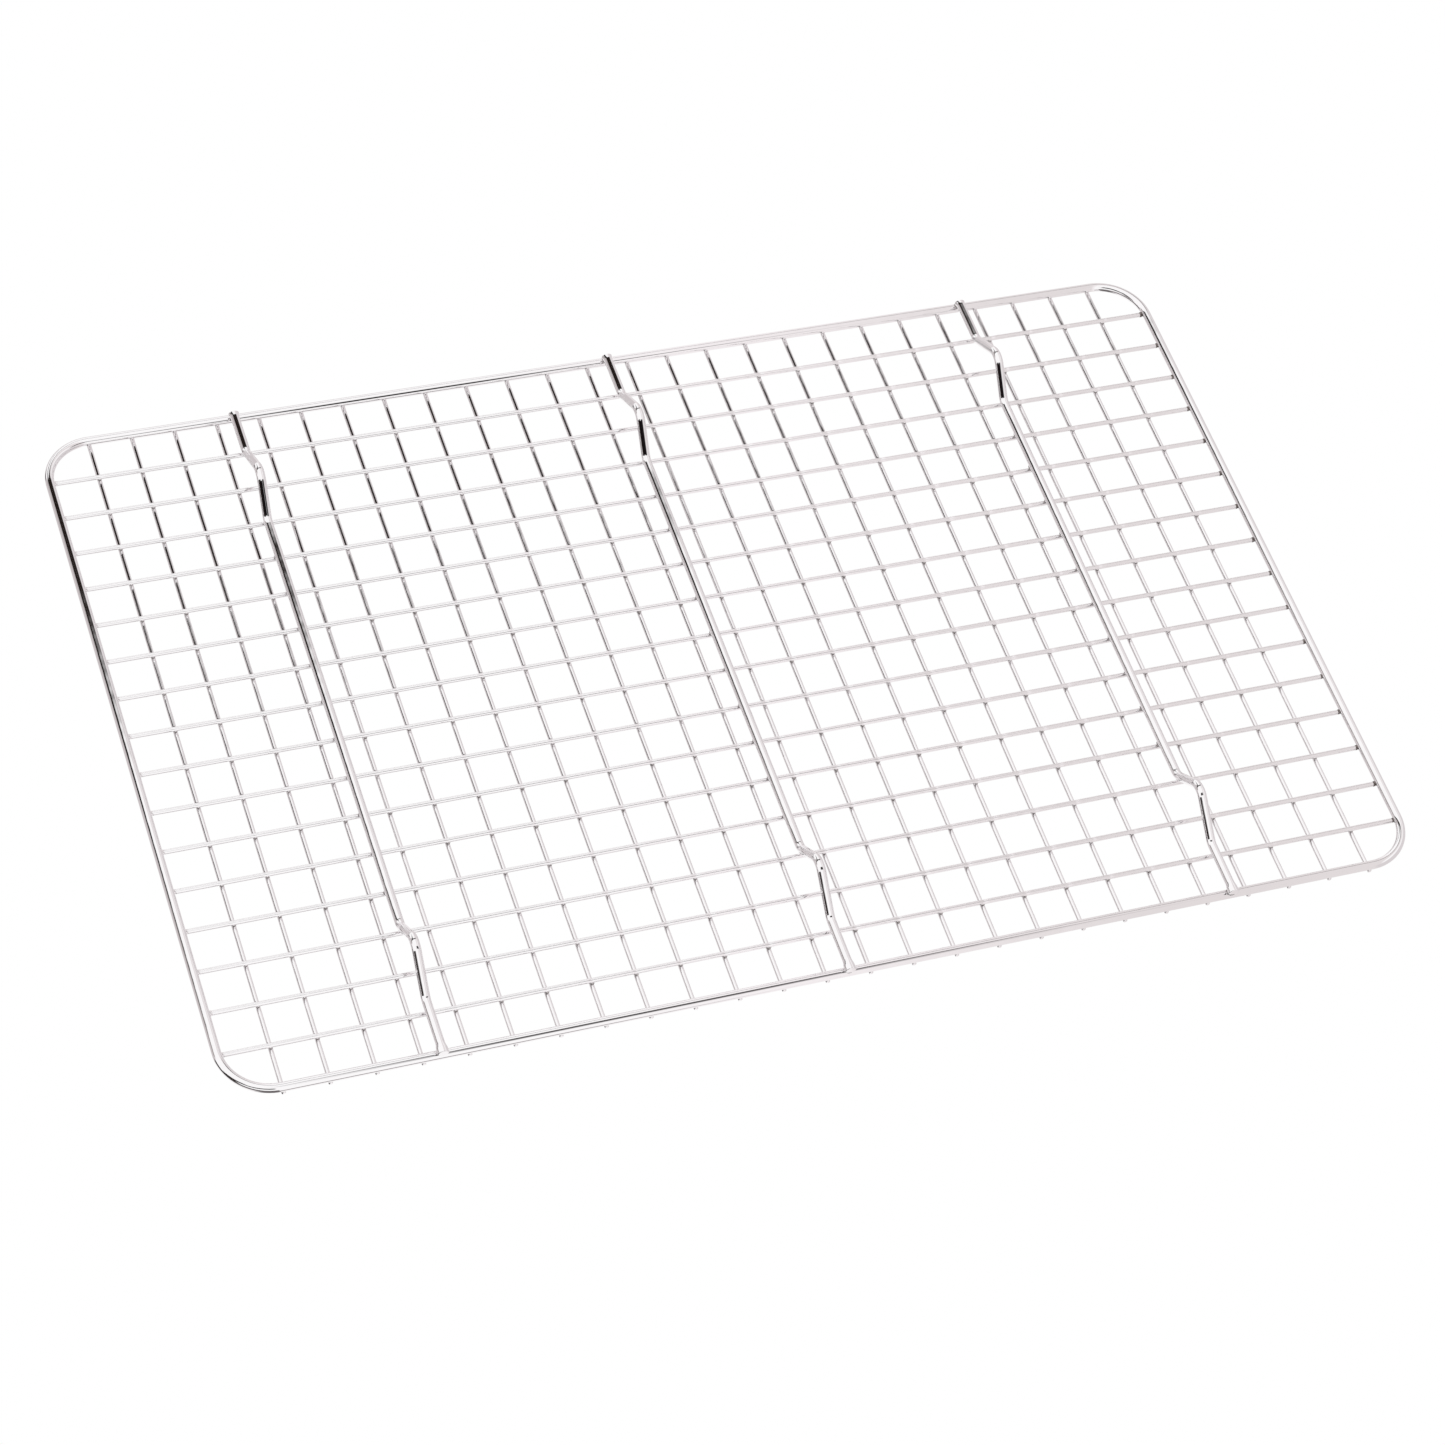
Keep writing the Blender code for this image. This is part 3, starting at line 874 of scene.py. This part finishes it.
def studio_world(world):
    """A white studio: plain white to the camera, plain grey to the floor, and the patches to glossy rays."""
    world.use_nodes = True
    tree = world.node_tree
    tree.nodes.clear()
    path = add(tree, "ShaderNodeLightPath").outputs
    toward = add(tree, "ShaderNodeTexCoord").outputs["Generated"]
    parts = add(tree, "ShaderNodeSeparateXYZ", {"Vector": toward}).outputs
    up = add(tree, "ShaderNodeMath", {0: parts["Z"], 1: -1.0}, operation="MULTIPLY").outputs["Value"]
    back = add(tree, "ShaderNodeMath", {0: parts["Y"], 1: -1.0}, operation="MULTIPLY").outputs["Value"]
    turn = add(tree, "ShaderNodeMath", {0: parts["X"], 1: up}, operation="ARCTAN2").outputs["Value"]
    tilt = add(tree, "ShaderNodeMath", {0: parts["Y"], 1: up}, operation="ARCTAN2").outputs["Value"]
    brink = add(tree, "ShaderNodeMapRange", {
        "Value": turn, "From Min": BRINK_TURNS[0], "From Max": BRINK_TURNS[1],
        "To Min": BRINK_PLACES[0], "To Max": BRINK_PLACES[1]}).outputs["Result"]
    edge = add(tree, "ShaderNodeMath", {0: back, 1: brink}, operation="SUBTRACT").outputs["Value"]
    depth = add(tree, "ShaderNodeMapRange", {
        "Value": turn, "From Min": DEPTH_TURNS[0], "From Max": DEPTH_TURNS[1],
        "To Min": DEPTH_SIZES[0], "To Max": DEPTH_SIZES[1]},
        interpolation_type="SMOOTHSTEP").outputs["Result"]
    drop = add(tree, "ShaderNodeMath", {0: edge, 1: depth}, operation="SUBTRACT").outputs["Value"]
    signals = {
        "side": parts["X"], "back": back, "up": up, "turn": turn, "tilt": tilt, "edge": edge, "drop": drop}
    seen = STUDIO_WHITE
    for colour, limits in STUDIO_PATCHES.values():
        cover = 1.0
        for signal, low, high in limits:
            fade = add(tree, "ShaderNodeMapRange", {
                "Value": signals[signal], "From Min": low, "From Max": high},
                interpolation_type="SMOOTHSTEP").outputs["Result"]
            cover = add(tree, "ShaderNodeMath", {0: fade, 1: cover}, operation="MULTIPLY").outputs["Value"]
        seen = add(tree, "ShaderNodeMix", {
            "Factor": cover, "A": seen, "B": colour}, data_type="RGBA").outputs["Result"]
    lit = add(tree, "ShaderNodeMix", {
        "Factor": path["Is Glossy Ray"], "A": STUDIO_GREY, "B": seen}, data_type="RGBA").outputs["Result"]
    shown = add(tree, "ShaderNodeMix", {
        "Factor": path["Is Camera Ray"], "A": lit, "B": STUDIO_WHITE}, data_type="RGBA").outputs["Result"]
    background = add(tree, "ShaderNodeBackground", {"Color": shown, "Strength": 1.0})
    add(tree, "ShaderNodeOutputWorld", {"Surface": background.outputs["Background"]})


# Matt white paint, rolled on a studio table: it scatters light evenly, so the eye sees shade and little gloss
FLOOR_ROUGHNESS = 0.8
FLOOR_SPECULAR = 0.1


def floor_paint(name, stage):
    """Matt white paint on a studio table, seen only from above: its underside lets every ray through."""
    material = bpy.data.materials.new(name)
    material.use_nodes = True
    tree = material.node_tree
    shader = tree.nodes["Principled BSDF"]
    shader.inputs["Base Color"].default_value = stage.floor[:]
    shader.inputs["Roughness"].default_value = FLOOR_ROUGHNESS
    shader.inputs["Specular IOR Level"].default_value = FLOOR_SPECULAR
    under = add(tree, "ShaderNodeNewGeometry").outputs["Backfacing"]
    clear = add(tree, "ShaderNodeBsdfTransparent").outputs["BSDF"]
    mixed = add(tree, "ShaderNodeMixShader", {0: under, 1: shader.outputs["BSDF"], 2: clear})
    tree.links.new(mixed.outputs["Shader"], tree.nodes["Material Output"].inputs["Surface"])
    return material


def flag_cloth(name, spans, fades, colour):
    """Dark cloth that fades out towards the flag's edges in X and in Y."""
    material = bpy.data.materials.new(name)
    material.use_nodes = True
    tree = material.node_tree
    tree.nodes.clear()
    place = add(tree, "ShaderNodeTexCoord").outputs["Object"]
    parts = add(tree, "ShaderNodeSeparateXYZ", {"Vector": place}).outputs
    cover = 1.0
    for axis, (low, high), fade in zip("XY", spans, fades):
        for start, end in ((low, low + fade), (high, high - fade)):
            share = add(tree, "ShaderNodeMapRange", {
                "Value": parts[axis], "From Min": start, "From Max": end},
                interpolation_type="SMOOTHSTEP").outputs["Result"]
            cover = add(tree, "ShaderNodeMath", {0: share, 1: cover}, operation="MULTIPLY").outputs["Value"]
    clear = add(tree, "ShaderNodeBsdfTransparent").outputs["BSDF"]
    dark = add(tree, "ShaderNodeEmission", {"Color": colour, "Strength": 1.0}).outputs["Emission"]
    mixed = add(tree, "ShaderNodeMixShader", {0: cover, 1: clear, 2: dark})
    add(tree, "ShaderNodeOutputMaterial", {"Surface": mixed.outputs["Shader"]})
    return material


def stage_sheet(name, sides, near, far, material):
    """A flat sheet of the stage between two places in X, from one edge to another, each given as Y and Z."""
    corners = [(sides[0], *near), (sides[1], *near), (sides[1], *far), (sides[0], *far)]
    mesh = bpy.data.meshes.new(name)
    mesh.from_pydata(corners, [], [(0, 1, 2, 3)])
    mesh.materials.append(material)
    sheet = bpy.data.objects.new(name, mesh)
    bpy.context.scene.collection.objects.link(sheet)
    return sheet


class RACK_OT_stage(bpy.types.Operator):
    """Set the floor, the soft light and the camera"""

    bl_idname = "rack.stage"
    bl_label = "Stage"

    def execute(self, context):
        scene, stage = context.scene, context.scene.rack_stage
        scene.view_settings.view_transform = "Standard"
        scene.world = bpy.data.worlds.new("studio")
        studio_world(scene.world)

        half = stage.floor_size / 2
        paint = finish_named("matt_white_table", floor_paint, stage)
        floor = stage_sheet("studio_floor", (-half, half), (-half, 0.0), (half, 0.0), paint)
        floor.visible_glossy = False

        for name, (sides, top, foot, fades, colour) in FLAGS.items():
            cloth = finish_named(f"{name}_cloth", flag_cloth, (sides, (top[0], foot[0])), fades, colour)
            flag = stage_sheet(name, sides, top, foot, cloth)
            flag.visible_camera = False
            flag.visible_diffuse = False
            flag.visible_transmission = False
            flag.visible_shadow = False

        light = bpy.data.lights.new("soft_box", "AREA")
        light.energy = stage.lamp_power
        light.size = stage.lamp_size
        lamp = bpy.data.objects.new("soft_box", light)
        lamp.location = stage.lamp_place
        lamp.rotation_euler = stage.lamp_turn
        lamp.visible_glossy = False
        scene.collection.objects.link(lamp)

        eye = bpy.data.cameras.new("camera")
        eye.lens = stage.focal_length
        eye.clip_start = 10 * MM
        camera = bpy.data.objects.new("camera", eye)
        camera.location = stage.camera_place
        camera.rotation_euler = stage.camera_turn
        scene.collection.objects.link(camera)
        scene.camera = camera
        return {"FINISHED"}


class RACK_PT_pieces(bpy.types.Panel):
    """Lists the rack's pieces and their settings."""

    bl_idname = "RACK_PT_pieces"
    bl_label = "Cooling rack"
    bl_space_type = "VIEW_3D"
    bl_region_type = "UI"
    bl_category = "Cooling rack"

    def draw(self, context):
        for group in (context.scene.rack_wires, context.scene.rack_finish, context.scene.rack_stage):
            box = self.layout.box()
            for name in group.__annotations__:
                box.prop(group, name)
        for operator in OPERATORS:
            self.layout.operator(operator.bl_idname)


GROUPS = {"rack_wires": RackWires, "rack_finish": RackFinish, "rack_stage": RackStage}
OPERATORS = (RACK_OT_frame_ring, RACK_OT_long_wires, RACK_OT_cross_wires, RACK_OT_supports, RACK_OT_welds,
             RACK_OT_stage)


def register():
    """Register the classes and hang the settings on the scene."""
    for kind in (*GROUPS.values(), *OPERATORS, RACK_PT_pieces):
        bpy.utils.register_class(kind)
    for name, kind in GROUPS.items():
        setattr(bpy.types.Scene, name, PointerProperty(type=kind))


def unregister():
    """Take the settings off the scene and unregister the classes."""
    for name in GROUPS:
        delattr(bpy.types.Scene, name)
    for kind in (RACK_PT_pieces, *reversed(OPERATORS), *reversed(GROUPS.values())):
        bpy.utils.unregister_class(kind)


def main():
    """Make every piece and the stage."""
    register()
    bpy.ops.rack.frame_ring()
    bpy.ops.rack.long_wires()
    bpy.ops.rack.cross_wires()
    bpy.ops.rack.supports()
    bpy.ops.rack.welds()
    bpy.ops.rack.stage()


if __name__ == "__main__":
    main()
